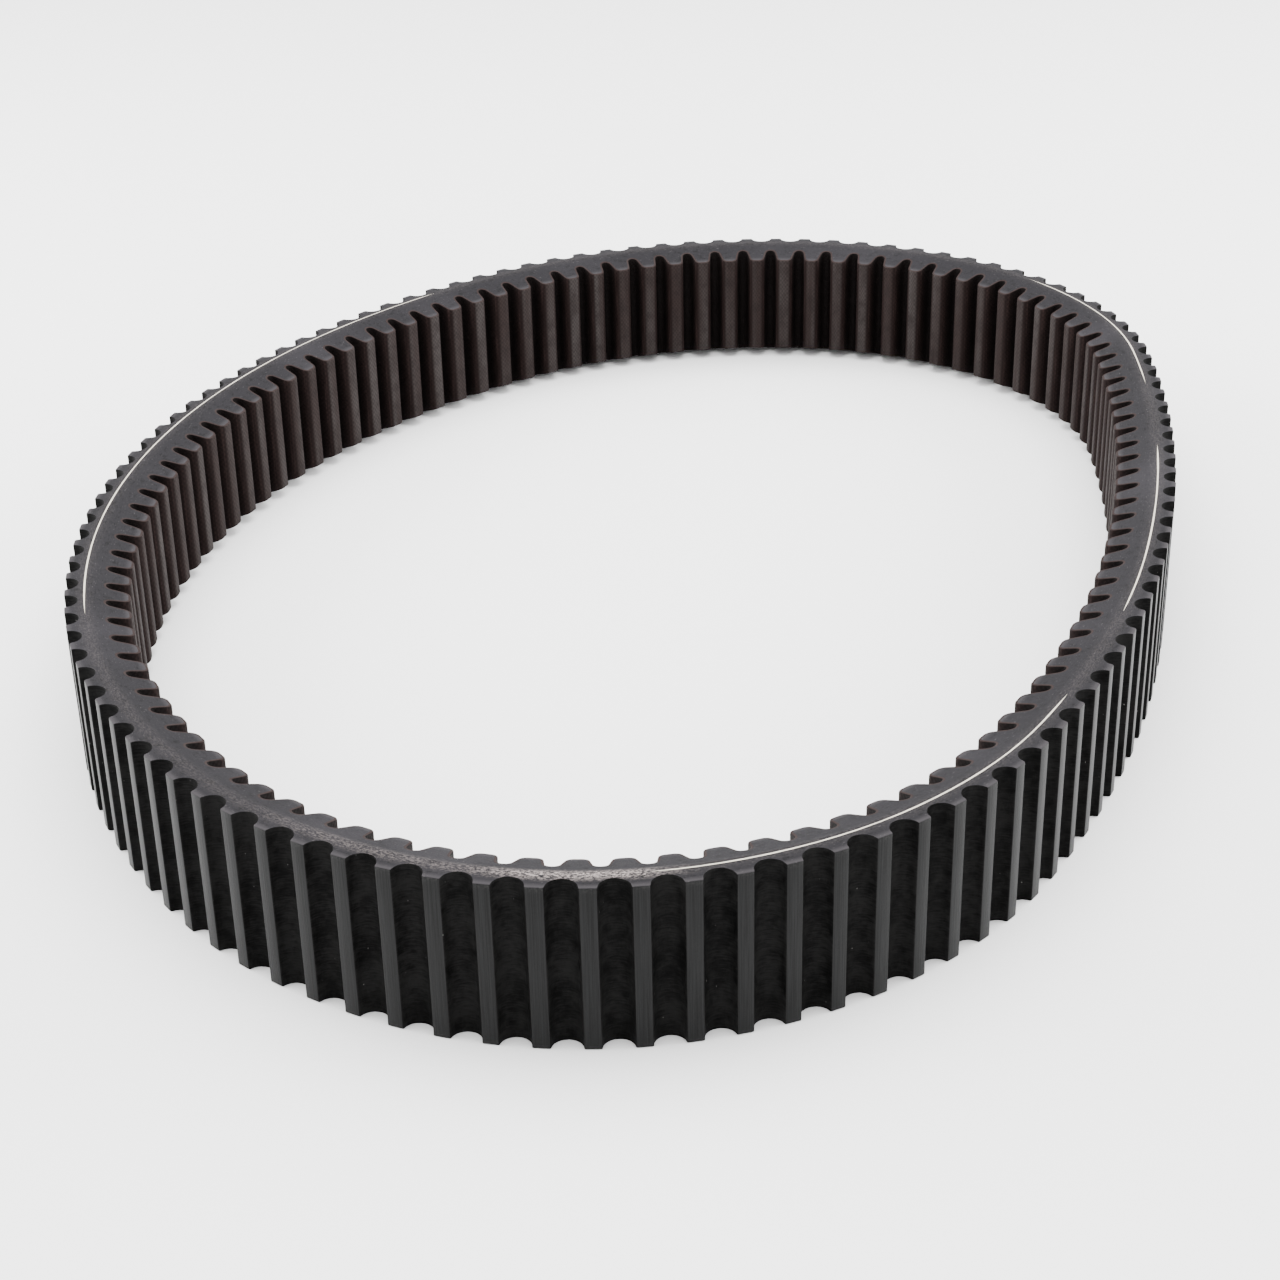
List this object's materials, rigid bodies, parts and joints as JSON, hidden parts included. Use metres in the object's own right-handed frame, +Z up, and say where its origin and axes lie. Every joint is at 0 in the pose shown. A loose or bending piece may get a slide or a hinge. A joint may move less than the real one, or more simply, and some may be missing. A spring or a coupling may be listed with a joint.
{
  "type": "variable-speed drive belt",
  "caption": "Wide V-section rubber drive belt for a variable-speed transmission, cogged inside and out, lying on its side in a relaxed oval loop.",
  "frame": {"origin": "centre of the loop, on the plane that the belt's lower side lies on", "axes": "+Z is up out of the side it lies on, across the belt's width; +Y is along the relaxed loop's long axis"},
  "size_m": [0.233, 0.3426, 0.031],
  "materials": {
    "outer_rubber": "matte moulded rubber, ground grey on the sides",
    "cushion_rubber": "cut and ground rubber",
    "cord": "twisted cream cord, cut flush at the sides",
    "inner_rubber": "fibre-filled rubber, ground on the flanks",
    "cover_fabric": "rubbered woven cover"
  },
  "bodies": {
    "root": {"outer_cog_rubber": "outer_rubber", "cushion_rubber": "cushion_rubber", "tensile_cord": "cord", "inner_cog_rubber": "inner_rubber", "inner_cog_fabric": "cover_fabric"}
  },
  "joints": []
}
